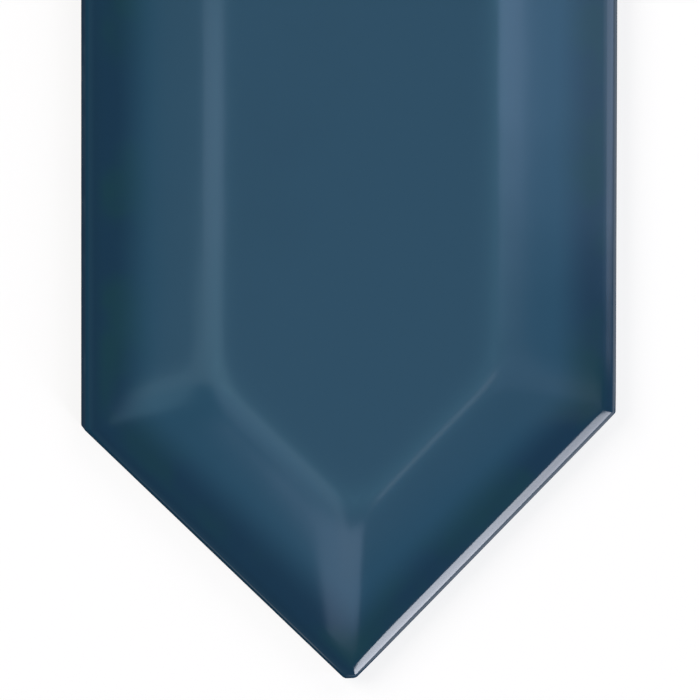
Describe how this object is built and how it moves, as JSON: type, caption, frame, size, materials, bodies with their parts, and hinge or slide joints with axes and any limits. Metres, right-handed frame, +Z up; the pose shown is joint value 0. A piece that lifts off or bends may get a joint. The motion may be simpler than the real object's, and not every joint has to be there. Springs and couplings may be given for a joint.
{
  "type": "ceramic wall tile",
  "caption": "Long bevelled picket wall tile, pointed at both ends, with a flat raised table, glossy blue glaze and a keyed back.",
  "frame": {"origin": "middle of the flat back, where the ribs of the keyed back cross", "axes": "+X across the tile, +Y along it from point to point, +Z up out of the glazed face"},
  "size_m": [0.1, 0.3, 0.01],
  "materials": {
    "glaze": "glossy petrol-blue glaze over a pale biscuit body"
  },
  "bodies": {
    "root": {"wall_tile": "glaze"}
  },
  "joints": []
}
